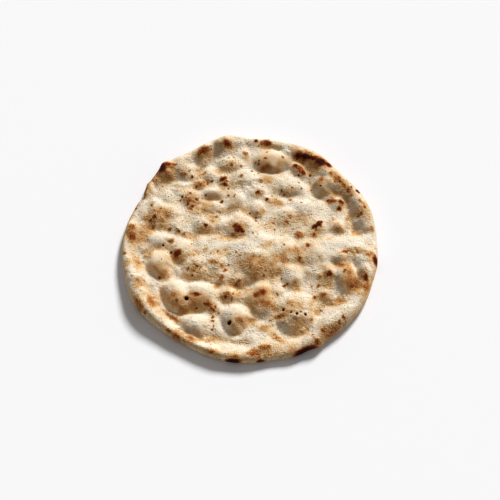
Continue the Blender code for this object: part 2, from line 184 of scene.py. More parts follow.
BUBBLES = rows_of(Bubble, (
    # far side
    (26, 108, 22.5, 13.5, 17, -2, 8.5, FULL),
    (-20, 103, 17, 11, 12.5, 0, 5.5, FIRM),
    (-7, 115, 7, 6, 6, 0, 3.0, FIRM),
    (-29, 123, 11, 14.5, 14, -6, 5.5, FIRM),
    (-52, 114, 11, 15, 16, -12, 5.0, FIRM),
    (-45, 88, 10, 12, 11, -8, 4.5, FIRM),
    (-74, 92, 14, 13, 13, 0, 5.0, SLACK),
    (-79, 104, 14, 10, 14, 10, 2.5, FIRM),
    (-98, 94, 13, 10, 17, 40, 5.0, FIRM),
    (-12, 114, 13, 17, 10, 0, 4.0, SLACK),
    (-6, 84, 16, 12, 14, -20, 3.5, SLACK),
    (-29, 81, 8, 8, 11, 0, 4.0, FIRM),
    (-76, 75, 12, 7, 6, 5, 1.5, SLACK),
    (-57, 76, 8, 6, 8, 0, 3.5, FIRM),
    (-67, 60, 15, 9, 14, 0, 4.0, SLACK),
    (-42, 64, 14, 7, 10, -4, 4.0, FIRM),
    (-42, 47, 15, 7, 9, -6, 3.5, FIRM),
    (-14, 57, 10, 7, 13, -20, 4.0, FIRM),
    (8, 44, 12, 10, 12, -20, 4.0, FIRM),
    (9, 65, 11, 12, 8, 0, 3.5, FIRM),
    (43, 71, 18, 18, 10, -5, 4.5, FIRM),
    (55, 94, 13, 7, 7, -55, 5.5, TAUT),
    (84, 85, 8, 10, 8, 0, 4.0, FIRM),
    (82, 74, 13, 11, 15, -20, 6.5, FIRM),
    (60, 46, 12, 10, 18, -10, 4.5, SLACK),
    (42, 36, 14, 10, 15, 0, 3.0, SLACK),
    (98, 51, 9, 6, 8, 0, 4.0, TAUT),
    (97, 21, 9, 8, 10, 0, 5.0, FIRM),
    (122, 42, 10, 18, 18, 10, 4.0, FIRM),
    (75, 23, 9, 9, 9, 20, 2.5, SLACK),
    # middle
    (-12, 22, 15, 15, 19, 5, 7.0, FIRM),
    (6, 12, 18, 17, 14, -10, 4.0, SLACK),
    (-29, 24, 13, 8, 9, 15, 3.5, SLACK),
    (-50, 25, 13, 9, 15, 0, 4.5, SLACK),
    (-82, 19, 19, 11, 6, -8, 2.5, FIRM),
    (-103, 40, 13, 18, 24, 0, 6.0, SLACK),
    (-90, 40, 12, 14, 17, 35, 4.5, SLACK),
    (-92, 57, 18, 16, 10, 0, 2.5, SLACK),
    (-117, 38, 7, 16, 9, 0, 3.0, SLACK),
    (-130, 16, 8, 10, 14, 0, 4.0, FIRM),
    (-102, 5, 13, 9, 12, 0, 4.5, FIRM),
    (-86, 5, 5, 5, 7, 0, 3.0, FIRM),
    (-75, -7, 12, 14, 19, 15, 6.0, FIRM),
    (-98, -24, 14, 15, 19.5, -12, 8.5, FIRM),
    (-59, -26, 14, 12, 21, 0, 4.5, SLACK),
    (-36, -24, 14, 8, 16, -20, 3.5, SLACK),
    (-30, -40, 8, 6, 10, -20, 2.5, FIRM),
    (7, -20, 17, 9, 18, -12, 3.5, FIRM),
    (2, -30, 12, 12, 22, 0, 4.5, FIRM),
    (72, -14, 16, 10, 14, 0, 3.0, SLACK),
    (97, -20, 10, 9, 10, 25, 4.5, FIRM),
    (118, -14, 18, 12, 20, 0, 3.0, FIRM),
    (46, -44, 11, 15, 14, 0, 5.0, FIRM),
    (85, -37, 9, 7, 10, 0, 4.5, FIRM),
    (102, -39, 11, 13, 24, 3, 8.0, FIRM),
    (122, -37, 8, 13, 14, 10, 3.5, FIRM),
    # near side
    (-81, -56, 15, 11, 27, 12, 8.5, TAUT),
    (-55, -60, 20, 13, 24, 0, 9.5, FIRM),
    (-70, -66, 20, 12, 19, -6, 7.5, TAUT),
    (-59, -99, 18, 16, 16.5, -6, 8.5, FIRM),
    (-40, -76, 8, 8, 9, 0, 3.0, SLACK),
    (-24, -60, 10, 8, 11, 0, 4.0, FIRM),
    (-14.5, -89.5, 15, 18, 18, -5, 9.0, SLACK),
    (12, -59, 12, 12, 17, 0, 8.0, FIRM),
    (12, -68, 20, 12, 20, -8, 6.5, FIRM),
    (27, -58, 12, 9, 11, 0, 3.5, SLACK),
    (49, -84, 23, 26, 28, -6, 9.0, FIRM),
    (78, -62, 8, 6, 9, 0, 3.5, FIRM),
    (-120, -43, 9, 10, 10, 0, 3.0, SLACK),
    (14, -119, 16, 12, 12, 0, 3.0, SLACK),
    (91, -92, 24, 12, 12, 36, 4.0, SLACK),
))

# Broad heaves of the dough, high or low, that the bubbles sit on.
HEAVES = rows_of(Bubble, (
    (-18, -2, 64, 18, 50, 0, 2.5, SLACK),
    (18, -6, 46, 15, 46, 0, 6.0, FIRM),
    (96, -8, 46, 19, 52, 0, 4.5, FIRM),
    (48, -107, 24, 15, 9, 0, -2.0, SLACK),
    (118, 18, 8, 14, 8, 0, -2.5, FIRM),
    (10, -92, 13, 10, 12, 0, -1.2, SLACK),
))

# Blisters too small for the solid.
BLISTERS = rows_of(Bubble, (
    (56, 68, 9, 9, 9, 0, 2.5, SLACK),
    (19, 56, 5, 4, 5, 0, 2.0, TAUT),
    (12, 80, 5, 5, 5, 0, 2.5, FIRM),
    (119, 26, 7, 7, 6, 0, 3.5, FIRM),
    (70, 10, 5, 5, 5, 0, 2.0, FIRM),
    (53, 11, 7, 6, 7, 0, 2.5, FIRM),
    (-12, -44, 9, 6, 9, 0, 2.5, FIRM),
    (62, -3, 5, 5, 5, 0, 1.8, FIRM),
    (54, -19, 5, 5, 6, 0, 1.5, FIRM),
    (74, -41, 6, 5, 6, 0, 2.5, FIRM),
    (37, -53, 5, 5, 5, 0, 2.0, FIRM),
    (69, -66, 5, 4, 5, 0, 2.0, FIRM),
    (31, -87, 7, 5, 5, 0, 2.0, FIRM),
    (42, -71, 7, 6, 7, 0, 2.0, SLACK),
))

# Valleys between bubbles: reach to each side, depth, and the line that the valley follows.
Crease = namedtuple("Crease", "reach depth line")
CREASES = rows_of(Crease, (
    (3.0, 1.5, ((-59, 102), (-58, 92))),
    (4.5, 2.5, ((-60, 92), (-46, 105), (-38, 94))),
    (3.5, 1.5, ((-104, 74), (-96, 76), (-84, 79), (-70, 80))),
    (1.8, 3.0, ((-115, 82), (-110, 77), (-106, 68))),
    (4.5, 1.0, ((-84, 62), (-76, 48), (-66, 36))),
    (4.0, 2.5, ((3, 96), (12, 91), (26, 90), (42, 95))),
    (4.5, 2.5, ((28, 60), (42, 58), (56, 62))),
    (4.5, 3.5, ((66, 76), (69, 64), (77, 58), (86, 52))),
    (3.6, 3.4, ((108, 54), (111, 36), (112, 16), (120, 11), (130, 12))),
    (4.0, 2.5, ((-58, 56), (-46, 54), (-34, 56))),
    (4.5, 2.5, ((-28, 36), (-14, 42), (0, 34), (6, 28))),
    (4.0, 1.2, ((28, 24), (38, 14), (52, 6), (64, 8))),
    (4.5, 1.5, ((-112, 18), (-98, 17), (-88, 13), (-74, 9), (-64, 4))),
    (4.0, 2.6, ((-64, 10), (-50, 10), (-26, 8), (-14, 4), (-4, 6))),
    (4.5, 3.0, ((-130, -1), (-121, -17), (-111, -32), (-101, -44), (-92, -48))),
    (4.0, 3.0, ((-102, -8), (-88, -11), (-86, -22), (-76, -28))),
    (4.5, 3.0, ((-84, -29), (-79, -42), (-64, -48), (-44, -48), (-34, -55), (-22, -51), (-8, -54))),
    (4.5, 3.0, ((-8, -54), (2, -50), (18, -44), (32, -42))),
    (4.5, 3.0, ((-99, -52), (-94, -68), (-86, -78), (-74, -85), (-60, -84), (-45, -80))),
    (4.5, 2.5, ((-74, -86), (-73, -98), (-66, -108))),
    (4.0, 3.0, ((-28, -72), (-14, -73), (-4, -74), (1, -86))),
    (4.0, 2.5, ((-34, -85), (-30, -98), (-19, -111), (-6, -103), (2, -92), (14, -92))),
    (4.0, 2.5, ((38, -27), (48, -27), (56, -30))),
    (4.0, 2.5, ((58, -44), (58, -52), (46, -54), (36, -49))),
    (5.0, 4.2, ((73, -85), (81, -75), (91, -74), (102, -68), (109, -59), (113, -50))),
    (4.5, 3.5, ((28, -99), (40, -110), (52, -112), (62, -106), (68, -94))),
    (4.5, 4.0, ((-74, -103), (-64, -110), (-52, -112), (-42, -110), (-32, -113), (-20, -119),
               (-6, -120))),
    (4.0, 4.0, ((-108, -56), (-104, -70), (-97, -80), (-87, -89), (-77, -95))),
    (3.0, 2.0, ((-129, -10), (-124, -24), (-122, -42))),
    (4.5, 2.8, ((72, 5), (84, 6), (98, 9), (105, 14))),
    (5.0, 4.0, ((112, -26), (115, -42), (112, -58))),
    (3.5, 3.0, ((-122, -10), (-116, -20), (-112, -31))),
    (4.0, 3.0, ((90, -27), (97, -32), (104, -29))),
))

# Ragged crags where the skin has torn: centre, half length along its turn, half width and turn.
Crag = namedtuple("Crag", "x y length width turn")
CRAGS = rows_of(Crag, (
    (-30, 74, 8, 6, 0), (-5, 73, 20, 8, 0), (-84, 66, 8, 5, -20), (-110, 15, 5, 8, 10),
    (-76, 14, 15, 5, -15), (-114, -14, 6, 9, 20), (116, -14, 12, 6, 0), (-130, -28, 5, 18, 10),
    (-112, -28, 5, 8, 25), (-57, -32, 14, 10, 0), (112, -38, 4, 12, 0), (-120, -46, 9, 6, -20),
    (-42, -46, 16, 5, 0), (93, -69, 10, 7, 20), (-102, -72, 4, 9, 20), (54, -84, 9, 5, -5),
    (-88, -88, 9, 4, -38), (38, -94, 14, 8, 0), (30, -110, 9, 7, 0),
))
CRAG_RELIEF = 3.0
CRAG_SHARPNESS = 3

# Stretches of skin drawn smooth over a bubble: centre, half length along the turn, half width, turn, share.
Stretch = namedtuple("Stretch", "x y length width turn share")
TAUT_SKIN = rows_of(Stretch, (
    (70, 103, 12, 7, -25, 0.50), (26, 102, 23, 17, -2, 0.95), (82, 68, 13, 15, -20, 0.50),
    (-42, 60, 13, 8, 0, 0.50), (-99, -28, 14, 16, -12, 0.55), (102, -48, 9, 14, 0, 0.40),
    (12, -64, 14, 12, 0, 0.40), (-82, -66, 14, 16, 12, 0.55), (-56, -70, 18, 12, 0, 0.40),
    (48, -90, 16, 12, 0, 0.20), (-14, -94, 14, 15, -5, 0.15), (-58, -101, 15, 14, -6, 0.15),
))
TAUT_SHARPNESS = 4

# Open pinholes where a bubble burst: centre, radius and depth.
Pinhole = namedtuple("Pinhole", "x y radius depth")
PINHOLES = rows_of(Pinhole, (
    (-67, -70, 1.9, 4.5),
    (-21.5, -97, 1.8, 4.5),
    (35, -82, 1.4, 2.5),
    (43, -86, 1.0, 2.0),
    (49, -88, 1.3, 2.5),
    (53, -86, 0.8, 2.0),
    (58, -88.5, 1.3, 2.5),
    (37, -5, 0.9, 2.0),
    (-95, -3, 1.1, 2.0),
))
HOLE_SHARPNESS = 4

# ---------------------------------------------------------------- unevenness of the dough
# Each swell is a random, smooth height field: the size of its bumps, their height, and its seed.
Swell = namedtuple("Swell", "size height seed")
DRIFT_X = (Swell(14, 1.4, 0), Swell(6, 0.9, 1))
DRIFT_Y = (Swell(14, 1.4, 2), Swell(6, 0.9, 3))
FLOOR_SWELLS = (Swell(30, 1.0, 4), Swell(13, 0.6, 5))
RIM_SWELLS = (Swell(20, 0.8, 6),)
TOP_SWELLS = (Swell(9, 0.30, 7), Swell(4.5, 0.15, 8), Swell(3.1, 0.13, 9), Swell(2.7, 0.12, 13))
CRAG_SWELLS = (Swell(6, 0.24, 10), Swell(3.7, 0.22, 11), Swell(2.8, 0.16, 12))
LATTICE_SIZE = 64
SHIFT_PER_SEED = (17.3, 9.1)
TURN_PER_SEED = 1.1


def round_value(values, angle):
    """Read evenly spaced values round the full turn as one smooth closed curve."""
    table = np.asarray(values, float)
    place = (angle / math.tau % 1.0) * len(table)
    first = np.floor(place).astype(int)
    t = place - first
    before, start, end, after = (table[(first + step) % len(table)] for step in (-1, 0, 1, 2))
    slope = end - before
    bend = 2 * before - 5 * start + 4 * end - after
    twist = 3 * (start - end) + after - before
    return start + 0.5 * t * (slope + t * (bend + t * twist))


def turn_between(a, b):
    """Return the shortest signed turn from angle b to angle a."""
    return (a - b + math.pi) % math.tau - math.pi


def outline_reach(angle):
    """Return how far the base reaches from its centre at an angle."""
    reach = RADIUS + round_value(OUTLINE, angle)
    for nick in NICKS:
        turn = np.degrees(turn_between(angle, math.radians(nick.angle)))
        reach = reach - nick.depth * np.exp(-(turn / nick.spread) ** 2)
    return reach


def ease(t):
    """Run from 0 to 1 with no slope or bend at either end."""
    return t * t * t * (t * (t * 6 - 15) + 10)


def swell_height(swells, x, y):
    """Return the summed height of some swells: random lattices, smoothly filled in."""
    total = np.zeros_like(x)
    for swell in swells:
        lattice = np.random.default_rng(swell.seed).uniform(-1, 1, (LATTICE_SIZE, LATTICE_SIZE))
        turn = TURN_PER_SEED * swell.seed
        u = (x * math.cos(turn) - y * math.sin(turn)) / swell.size + SHIFT_PER_SEED[0] * swell.seed
        v = (x * math.sin(turn) + y * math.cos(turn)) / swell.size + SHIFT_PER_SEED[1] * swell.seed
        i = np.floor(u).astype(int)
        j = np.floor(v).astype(int)
        s = ease(u - i)
        t = ease(v - j)
        near = lattice[i % LATTICE_SIZE, j % LATTICE_SIZE] * (1 - s)
        near = near + lattice[(i + 1) % LATTICE_SIZE, j % LATTICE_SIZE] * s
        far = lattice[i % LATTICE_SIZE, (j + 1) % LATTICE_SIZE] * (1 - s)
        far = far + lattice[(i + 1) % LATTICE_SIZE, (j + 1) % LATTICE_SIZE] * s
        total = total + swell.height * (near * (1 - t) + far * t)
    return total


def oval_distance(x, y, oval):
    """Return how far points lie from an oval's centre, with 1 on the oval itself."""
    turn = math.radians(oval.turn)
    along = ((x - oval.x) * math.cos(turn) + (y - oval.y) * math.sin(turn)) / oval.length
    across = ((y - oval.y) * math.cos(turn) - (x - oval.x) * math.sin(turn)) / oval.width
    return np.hypot(along, across)


def dome(x, y, bubble):
    """Return the height of one bubble's dome, with its own reach on its far and near sides."""
    turn = math.radians(bubble.turn)
    along = ((x - bubble.x) * math.cos(turn) + (y - bubble.y) * math.sin(turn)) / bubble.length
    across = (y - bubble.y) * math.cos(turn) - (x - bubble.x) * math.sin(turn)
    across = across / np.where(across > 0, bubble.far, bubble.near)
    return bubble.height * np.maximum(1 - along ** 2 - across ** 2, 0) ** bubble.sides


def bubble_rise(x, y):
    """Return how far the heaves and bubbles lift the dough."""
    total = np.zeros_like(x)
    for bubble in BUBBLES + BLISTERS:
        total = total + dome(x, y, bubble) ** BUBBLE_BLEND
    total = total ** (1 / BUBBLE_BLEND)
    for heave in HEAVES:
        total = total + dome(x, y, heave)
    return total


def crease_depth(x, y):
    """Return how far the creases sink the dough."""
    deepest = np.zeros_like(x)
    for crease in CREASES:
        nearest = np.full_like(x, np.inf)
        for (x1, y1), (x2, y2) in zip(crease.line, crease.line[1:]):
            share = ((x - x1) * (x2 - x1) + (y - y1) * (y2 - y1)) / ((x2 - x1) ** 2 + (y2 - y1) ** 2)
            share = np.clip(share, 0, 1)
            nearest = np.minimum(nearest, np.hypot(x - x1 - share * (x2 - x1), y - y1 - share * (y2 - y1)))
        deepest = np.maximum(deepest, crease.depth * np.exp(-(nearest / crease.reach) ** CREASE_SOFTNESS))
    return deepest


def pinhole_depth(x, y):
    """Return how far the pinholes sink the crust."""
    depth = np.zeros_like(x)
    for hole in PINHOLES:
        away = np.hypot(x - hole.x, y - hole.y) / hole.radius
        depth = np.maximum(depth, hole.depth * np.exp(-away ** HOLE_SHARPNESS))
    return depth


def edge_height(angle):
    """Return the height at which the base is widest."""
    return EDGE_SHARE * round_value(RIM_HEIGHT, angle)


def rim_and_floor(inset, angle, drift, x, y):
    """Return the height of the plain dough: the floor, and the rim as a rounded ridge round it."""
    width = round_value(RIM_WIDTH, angle)
    crest = CREST_SHARE * width
    top = round_value(RIM_HEIGHT, angle) + swell_height(RIM_SWELLS, x, y)
    floor = FLOOR_THICKNESS + swell_height(FLOOR_SWELLS, x, y)
    edge = edge_height(angle)
    outward = np.clip(1 - inset / crest, 0, 1)
    outer_side = edge + (top - edge) * np.sqrt(1 - outward ** 2)
    inner_side = top + (floor - top) * ease(np.clip((inset + drift - crest) / (width - crest), 0, 1))
    return np.where(inset < crest, outer_side, inner_side)


def edge_inset(x, y):
    """Return how far points of the plan lie inside the outline."""
    return outline_reach(np.arctan2(y, x)) - np.hypot(x, y)


def edge_fade(inset):
    """Return how much of the unevenness is left towards the edge."""
    return np.sqrt(np.clip(inset / FADE_AT_EDGE, 0, 1))


def form_height(x, y):
    """Return the height of the dough's rim, floor, bubbles and creases over points of the plan."""
    angle = np.arctan2(y, x)
    inset = edge_inset(x, y)
    fade = edge_fade(inset)
    drift_x = swell_height(DRIFT_X, x, y)
    drift_y = swell_height(DRIFT_Y, x, y)
    dough = rim_and_floor(inset, angle, drift_x, x, y)
    raised = dough + fade * bubble_rise(x + drift_x, y + drift_y)
    sunk = raised - fade * crease_depth(x + drift_x, y + drift_y)
    return np.maximum(sunk, THINNEST_DOUGH)


def taut_skin(x, y):
    """Return how far the skin over points of the plan is drawn smooth."""
    share = np.zeros_like(x)
    for stretch in TAUT_SKIN:
        share = np.maximum(share, stretch.share * np.exp(-oval_distance(x, y, stretch) ** TAUT_SHARPNESS))
    return share


def skin_height(x, y):
    """Return how far the uneven skin stands off the dough's form."""
    fade = edge_fade(edge_inset(x, y))
    torn = np.zeros_like(x)
    for crag in CRAGS:
        torn = np.maximum(torn, np.exp(-oval_distance(x, y, crag) ** CRAG_SHARPNESS))
    skin = swell_height(TOP_SWELLS, x, y) + CRAG_RELIEF * torn * swell_height(CRAG_SWELLS, x, y)
    return fade * (1 - taut_skin(x, y)) * skin - pinhole_depth(x, y)


def level_off(height):
    """Keep the highest crust from rising further."""
    above = np.maximum(height - HIGH_DOUGH, 0)
    return np.minimum(height, HIGH_DOUGH) + HIGHEST_RISE * (1 - np.exp(-above / HIGHEST_RISE))


def even_out(bm, height, inset, taut):
    """Even out the heights of neighbouring points, but not on the flank, and less under taut skin."""
    ends = np.array([[vert.index for vert in edge.verts] for edge in bm.edges])
    count = np.bincount(ends.ravel(), minlength=len(height))
    eased = height.copy()
    for _ in range(EASING_ROUNDS):
        total = np.bincount(ends[:, 0], eased[ends[:, 1]], len(height))
        total = total + np.bincount(ends[:, 1], eased[ends[:, 0]], len(height))
        eased = eased + EASING_SHARE * (total / count - eased)
    share = np.clip((inset - EASING_INSET) / EASING_INSET, 0, 1) * (1 - TAUT_CRISPNESS * taut)
    return height + share * (eased - height)


# ---------------------------------------------------------------- browning
# Marks are placed where they show from VIEW_ELEVATION on a level plane at MARK_LEVEL, and slid along the line
# of sight onto the crust. Each has its centre, half length along its turn, half width, turn in degrees, and
# bake: 0 is raw dough, 0.3 tan, 0.5 brown, 0.75 dark brown and 1 black.
MARK_LEVEL = 8.0
Mark = namedtuple("Mark", "x y length width turn bake")

# Scorches with a brown halo round them; one of them is a painted shadow.
SCORCH_AND_SHADOW_MARKS = rows_of(Mark, (
    (19.5, 131, 5, 4, 0, 0.66), (13.5, 131, 2.5, 2.5, 0, 0.52), (-26, 130, 5.4, 4, -20, 0.64),
    (-53, 121, 7.5, 3.6, 22, 0.56), (-58, 118, 3, 4, 0, 0.44), (-99.5, 97, 6.5, 6, 50, 0.94),
    (-94, 101, 6, 3.4, 20, 0.72), (-86, 101, 3, 2, 0, 0.62), (-105, 91, 4, 3, 60, 0.66),
    (-118, 69, 2.6, 7, 12, 0.50), (-21, 101, 3, 3, 0, 0.52), (-75, 88, 3.5, 3, 0, 0.38),
    (-57, 76, 4, 4, 0, 0.44), (-47.5, 75, 1.8, 2.4, 0, 0.56), (-69, 54, 5, 4, 0, 0.44),
    (-66, 44, 2.4, 2.4, 0, 0.62), (-30, 82.5, 4.2, 2.8, 10, 0.78), (-28, 74.5, 2.8, 2.2, 0, 0.78),
    (8.5, 64, 2.4, 2.4, 0, 0.68), (52.5, 100, 3.6, 2.8, -45, 0.78), (56.5, 96, 7.5, 4.0, -52, 0.60),
    (60.5, 91.5, 3.4, 2.8, -60, 0.78), (56, 114, 5, 5, -20, 0.70), (65, 112, 8, 2.8, -12, 0.86),
    (72, 110, 5, 2.6, -25, 0.84), (80, 104.5, 7, 4.4, -28, 0.97), (88, 101, 5, 3.2, -35, 0.88),
    (77, 110, 7, 2.4, -28, 0.52), (80, 81, 3, 5, -10, 0.48), (92, 89, 3, 2, -50, 0.50),
    (101, 79, 4, 2.2, -55, 0.54), (105, 74, 4, 2.2, -60, 0.52), (110, 67, 3.4, 2.6, -60, 0.58),
    (92.5, 53.5, 4.8, 3.4, -10, 0.64), (101.5, 52, 3.8, 3.4, 0, 0.82), (99, 43, 3, 2.2, 0, 0.80),
    (122, 36, 3.6, 3.6, 0, 0.52), (96, 21, 5, 5, 0, 0.26), (73, 16, 1.8, 1.8, 0, 0.54),
    (71, 10, 2.1, 2.1, 0, 0.66), (54, 11, 5, 4, -20, 0.50), (62, -3, 2.2, 2.4, 0, 0.58),
    (54, -19, 1.8, 2.2, 0, 0.58), (-16, 21.5, 3.4, 2.8, 30, 0.68), (-12, 17.5, 5, 4.2, -40, 0.73),
    (-8, 14.5, 2.6, 2.0, 0, 0.70), (-18, 11, 3.4, 2.4, 0, 0.36), (-49, 22, 2.4, 2.0, 0, 0.76),
    (-109, 47.5, 1.4, 1.8, 0, 0.62), (-106, 33, 3.2, 2.8, 0, 0.68), (-106, 19, 1.8, 1.8, 0, 0.48),
    (-130, 20, 3.6, 3.8, 0, 0.56), (-129, 10, 4, 6, 0, 0.56), (-79, -13, 4.6, 4.2, 0, 0.66),
    (-39, -23.5, 6, 2.4, -10, 0.44), (-56.5, -61, 4, 2.2, 0, 0.68), (-62, -61, 2.4, 1.8, 0, 0.46),
    (-81, -62, 5, 3, -40, 0.42), (-43, -74, 3.8, 2.8, -20, 0.54), (-40, -79.5, 4.4, 2.4, -40, 0.54),
    (-25, -61.5, 5.4, 3.6, 0, 0.44), (-11, -91, 4, 3, 0, 0.34), (7, -62, 4.4, 2.8, 0, 0.52),
    (13.5, -59, 4.6, 3.6, 15, 0.58), (85, -37, 2.8, 2.6, 0, 0.74), (102.5, -10.5, 3.6, 2.4, 20, 0.70),
    (135, -22, 3.4, 6.5, 15, 0.9), (123, -41, 2.8, 3.8, -20, 0.80), (31.5, -87.5, 4.8, 2.2, 0, 0.58),
    (78, -62, 4, 3, 0, 0.40), (48, -47, 3.4, 3, 0, 0.28), (69, -66.5, 1.6, 1.8, 0, 0.72),
    (15, -122, 7, 3.6, 0, 0.44), (3, -126, 4, 3, 0, 0.42), (0.5, -29, 1.8, 4, 0, 0.50),
    (69, -116.5, 3.2, 2.8, 20, 0.50), (76, -104, 3.2, 3.2, 0, 0.50), (-15, -132.5, 4, 2.6, 0, 0.44),
    (-38, -126, 3, 2.4, 0, 0.48), (-84, -104, 4, 2, -30, 0.46), (-76, -111, 6, 2.4, -30, 0.40),
    # Painted shadow: the mark at (-104, -71) stands for a bubble's shadow in the rim's hollow.
    (-117, -74, 4.6, 9, 25, 0.42), (124, -52, 2, 5, -20, 0.44), (-104, -71, 4.5, 9, 20, 0.52),
    (135, 17, 2, 4, 0, 0.42),
))

# Spots with hardly any halo, one of them painted shade: centre, radius and bake.
Spot = namedtuple("Spot", "x y radius bake")
SPOT_AND_SHADE_MARKS = rows_of(Spot, (
    (7, 134, 2.2, 0.66), (22, 136, 1.6, 0.50), (10, 127, 1.2, 0.45), (-115, 74, 2.5, 0.30),
    (18, 110, 2.0, 0.44), (37, 111, 1.9, 0.44), (10, 106, 1.0, 0.50), (10, 102, 1.5, 0.42),
    (19, 118, 1.0, 0.50), (7, 104, 1.0, 0.40), (-31, 106, 1.0, 0.45), (-24, 111, 1.2, 0.42),
    (-18, 111, 1.0, 0.42), (-10, 100, 1.5, 0.46), (-5, 117, 3.0, 0.36), (-52, 90, 3.4, 0.34),
    (-66, 86, 1.6, 0.60), (-69, 92, 1.2, 0.50), (-61, 71.5, 1.8, 0.54), (-52, 78, 1.4, 0.50),
    (-43, 78, 1.5, 0.50), (-67, 63, 1.8, 0.60), (-76, 59, 1.8, 0.50), (-72, 58, 1.2, 0.60),
    (-60, 56, 2.4, 0.48), (-63, 52, 1.4, 0.58), (-70, 49, 1.6, 0.56), (-64, 47, 1.4, 0.60),
    (-78, 54, 1.0, 0.60), (-33, 85, 1.2, 0.5), (-32, 75, 1.2, 0.6), (-26, 79, 1.2, 0.5),
    (-10, 87, 2.4, 0.38), (2.5, 92, 1.2, 0.58), (5, 88, 1.0, 0.55), (9, 89, 0.9, 0.5), (12, 80, 3.0, 0.30),
    (-49, 61, 1.2, 0.66), (-32, 52, 1.7, 0.76), (-24, 60, 1.3, 0.56), (-18, 60, 1.2, 0.58),
    (-24, 69, 1.2, 0.58), (-17, 62, 0.9, 0.55), (24, 59, 1.1, 0.66), (29, 56, 1.2, 0.54),
    (35, 66, 1.3, 0.62), (33, 62, 0.9, 0.55), (38, 60, 1.0, 0.58), (48, 70, 1.1, 0.50), (45, 54, 1.8, 0.46),
    (58, 51, 1.5, 0.52), (58, 70, 1.2, 0.60), (69, 67, 1.3, 0.62), (68, 87, 1.6, 0.58), (55, 87, 1.5, 0.50),
    (55, 77, 1.1, 0.50), (79, 72, 1.0, 0.58), (96, 79, 1.5, 0.45), (114, 71, 1.8, 0.52),
    (121, 65.5, 2.6, 0.95), (88, 54, 1.6, 0.60), (122, 53, 2.4, 0.34), (127, 45, 2.0, 0.50),
    (120, 33, 1.6, 0.54), (134, 20, 1.6, 0.44), (44, 33, 3.2, 0.32), (40, 26, 2.8, 0.32),
    (8, 38, 2.2, 0.30), (0.5, 37, 1.3, 0.62), (6, 31, 1.3, 0.56), (7, 27, 1.0, 0.5), (-41, 27, 1.4, 0.42),
    (-37, 32, 1.8, 0.38), (-33, 39, 1.4, 0.5), (-24, 43, 1.0, 0.55), (27, 16, 1.1, 0.5),
    (22, 18, 1.1, 0.48), (17, 22, 1.0, 0.44), (3, 12, 1.0, 0.52), (8, 11, 1.1, 0.44), (25, 25, 1.4, 0.42),
    (23, -0.5, 1.0, 0.62), (76, 24, 3.4, 0.74), (72, 21.5, 2.6, 0.68), (79, 26, 2.2, 0.70),
    (69.5, 19.5, 2.2, 0.58), (78.5, 20.5, 1.9, 0.56), (19, 56, 2.3, 0.66), (-107, 41, 1.6, 0.5),
    (-99, 44, 2.4, 0.34), (-110, 28, 2.0, 0.42), (-127, 43, 2.0, 0.60), (-130, 45, 1.2, 0.5),
    (-88, 16, 1.9, 0.46), (-78, 15, 1.8, 0.36), (-72, 12, 1.8, 0.38), (-65, 6, 1.2, 0.5),
    (-86, 2, 3.0, 0.34), (-64, -2, 0.9, 0.78), (-86, -12, 1.1, 0.84), (-57, 27, 1.4, 0.44),
    (-97, -43, 2.0, 0.40), (-120, -44, 2.0, 0.30), (-121, -49, 1.4, 0.30), (-112, -47, 1.8, 0.30),
    (-136, -13, 2.6, 0.34), (-133, -22, 1.6, 0.34), (-48, -8, 2.8, 0.24), (-28, -9, 2.6, 0.24),
    (-23, -14, 2.4, 0.28), (-35, -10, 1.0, 0.6), (-43, -13, 1.0, 0.44), (-27, -34, 2.0, 0.44),
    (-23, -28, 1.8, 0.44), (-30, -28, 2.4, 0.38), (-62, -40, 1.4, 0.54), (-67, -31, 1.6, 0.52),
    (-56, -29, 1.4, 0.56), (-53, -30, 1.0, 0.6), (-60, -34, 1.6, 0.46), (-52, -24, 1.4, 0.5),
    (-48, -34, 1.3, 0.52), (-30, -42, 3.0, 0.40), (-12, -46, 2.4, 0.46), (-15, -50, 1.8, 0.44),
    (-15, -12, 1.4, 0.34), (-10, -15, 2.0, 0.30), (-5, -12, 1.4, 0.32), (-9, -11, 0.9, 0.5),
    (4, -16, 2.8, 0.26), (11, -16, 2.0, 0.24), (14, -40, 1.4, 0.52), (13, -32, 1.6, 0.42),
    (17, -33, 1.4, 0.48), (33, -44, 1.2, 0.5), (-77, -68, 2.2, 0.44), (-57, -78, 1.0, 0.60),
    (-36.5, -77, 1.8, 0.50), (-47, -73, 1.8, 0.50), (-33, -85, 1.6, 0.48), (-39, -88, 1.8, 0.50),
    (-39.5, -92.5, 1.5, 0.50), (-38, -99, 1.2, 0.46), (-39, -103.5, 1.6, 0.50), (-18, -61, 1.6, 0.44),
    (-26, -66, 1.8, 0.50), (-19, -67, 1.4, 0.44), (36.5, -53, 1.8, 0.66), (39, -51, 1.4, 0.5),
    (29, -62, 1.2, 0.5), (75, -41, 2.8, 0.34), (101.5, -33, 1.4, 0.60), (100, -36, 1.6, 0.46),
    # Painted shade: the spot at (98, -27) stands for the shaded hollow under a bubble.
    (98, -27, 3.6, 0.38), (125, -45, 2.0, 0.40), (73, -53, 2.0, 0.46), (66, -52, 1.2, 0.4),
    (74, -82, 2.2, 0.36), (65, -108.5, 1.0, 0.56), (64, -92, 2.4, 0.34), (93, -94, 2.4, 0.42),
    (98, -88, 2.2, 0.44), (-110, -83, 2.6, 0.38), (-126, -40, 1.6, 0.36), (60, -103, 1.4, 0.3),
))
